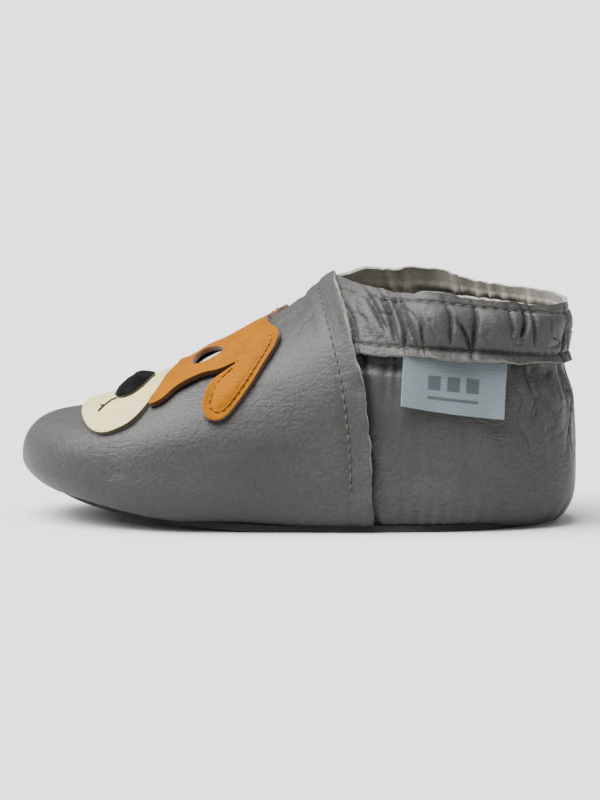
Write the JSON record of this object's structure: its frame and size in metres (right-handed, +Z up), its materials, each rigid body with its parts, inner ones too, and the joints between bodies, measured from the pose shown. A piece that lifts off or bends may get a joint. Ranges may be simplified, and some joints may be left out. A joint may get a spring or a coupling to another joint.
{
  "type": "baby bootie",
  "caption": "Soft leather pre-walker bootie with an elasticated ankle cuff, turned suede sole, stitched dog-face applique and a hinged side label.",
  "frame": {"origin": "on the ground under the middle of the bootie's outline", "axes": "-X towards the toe, +X towards the heel, -Y towards the labelled (lateral) side, +Z up"},
  "size_m": [0.1356, 0.0598, 0.0603],
  "materials": {
    "grey_leather": "soft tumbled garment leather, fine grain, low sheen",
    "grey_suede": "suede split, matt",
    "pale_suede": "suede flesh side, matt",
    "foam": "open-cell foam",
    "elastic": "knitted elastic",
    "tan_leather": "smooth leather, low sheen",
    "cream_leather": "smooth leather, matt",
    "ink_leather": "padded smooth leather, low sheen",
    "white_leather": "smooth leather, matt",
    "satin": "woven satin ribbon",
    "grey_thread": "spun polyester thread",
    "gold_thread": "spun polyester thread",
    "dark_thread": "embroidery thread"
  },
  "bodies": {
    "bootie": {"outsole": "grey_suede", "insole_pad": "foam", "insole_sock": "pale_suede", "vamp": "grey_leather", "quarter": "grey_leather", "cuff_band": "grey_leather", "ankle_elastic": "elastic", "vamp_seam_thread": "grey_thread", "cuff_rim_thread": "grey_thread", "cuff_base_thread": "grey_thread", "sole_seam_thread": "grey_thread", "dog_mask": "tan_leather", "muzzle_patch": "cream_leather", "nose_patch": "ink_leather", "eye_white_lateral": "white_leather", "eye_white_medial": "white_leather", "ear_thread_lateral": "gold_thread", "ear_thread_medial": "gold_thread", "mouth_thread_lateral": "dark_thread", "mouth_thread_medial": "dark_thread"},
    "label": {"size_label": "satin"}
  },
  "joints": [
    {"name": "label_hinge", "type": "hinge", "parent": "bootie", "child": "label", "pos_m": [0.03781, -0.02205, 0.03998], "axis": [-0.9896, -0.125, 0.0717], "range_deg": [0, 75]}
  ]
}
